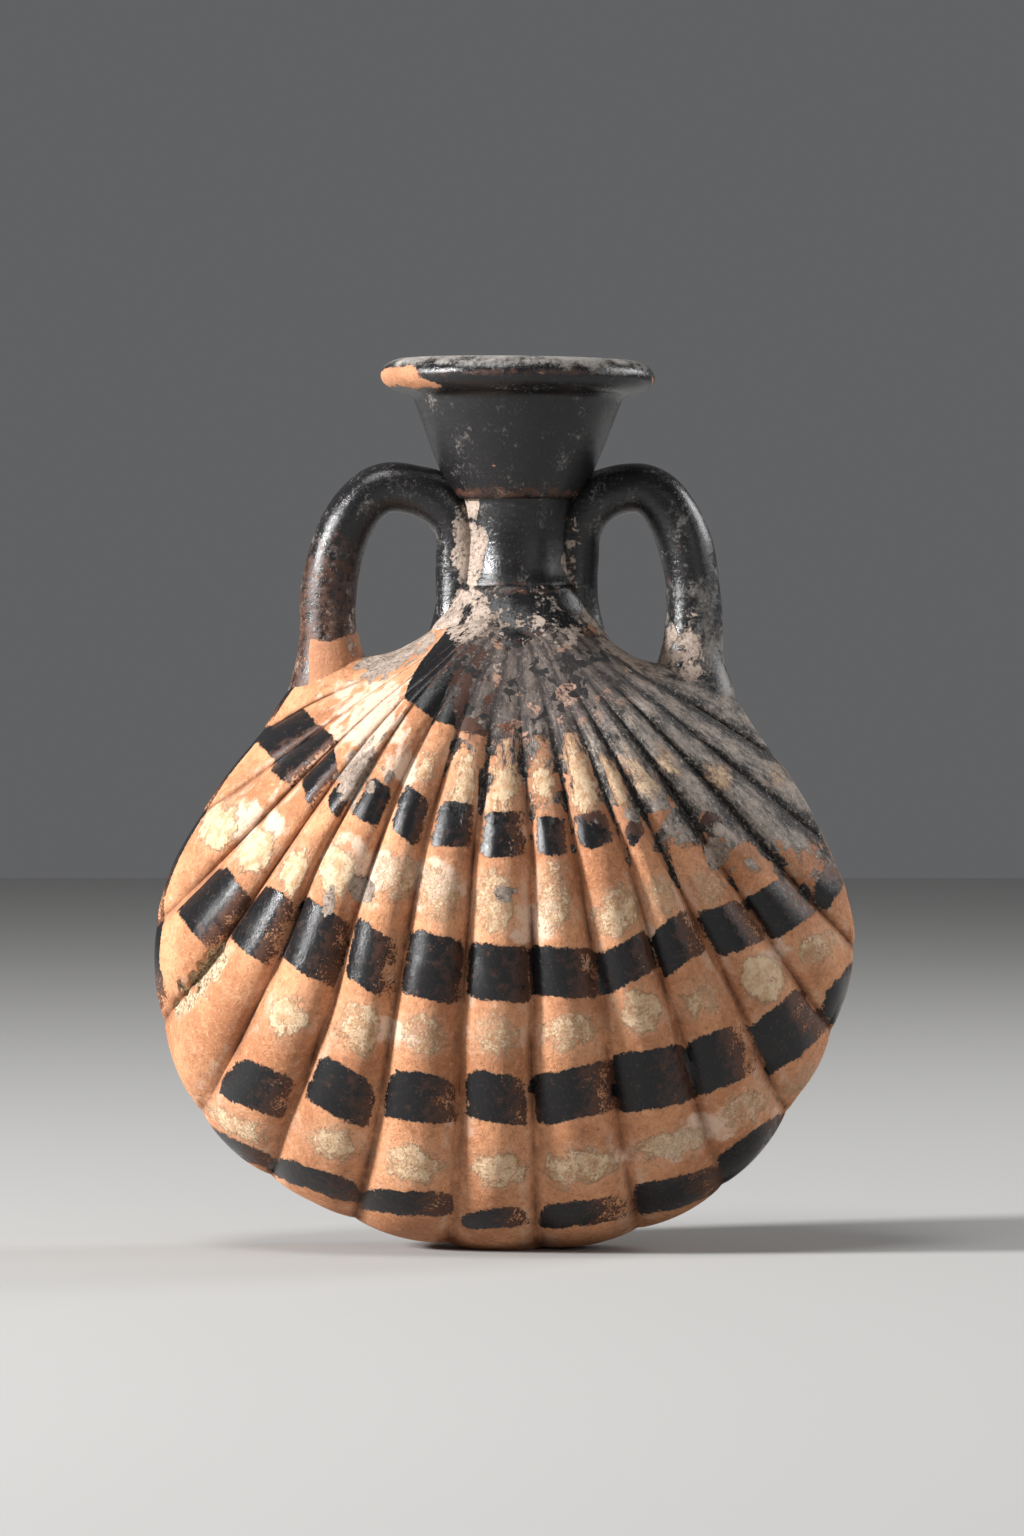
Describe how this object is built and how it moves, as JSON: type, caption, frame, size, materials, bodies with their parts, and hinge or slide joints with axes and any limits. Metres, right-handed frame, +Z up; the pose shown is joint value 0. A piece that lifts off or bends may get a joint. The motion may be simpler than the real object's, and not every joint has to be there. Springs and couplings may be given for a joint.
{
  "type": "amphoriskos",
  "caption": "Small clay oil flask with a ribbed shell-shaped hollow body, narrow neck, flaring mouth with an overhanging lip and a loop handle on each side.",
  "frame": {"origin": "middle of the flask's box on the surface it stands on", "axes": "+Z up through the mouth, +X to the viewer's right across the handles, +Y away from the viewer through the shell's two halves"},
  "size_m": [0.078, 0.048, 0.1],
  "materials": {
    "terracotta": "bare orange fired clay, matt, with painted black and cream patches",
    "black_glaze": "worn glossy black glaze on fired clay"
  },
  "bodies": {
    "root": {"front_valve": "terracotta", "back_valve": "terracotta", "seam_strip": "terracotta", "shoulder_collar": "black_glaze", "neck": "black_glaze", "mouth": "black_glaze", "left_handle": "black_glaze", "right_handle": "black_glaze"}
  },
  "joints": []
}
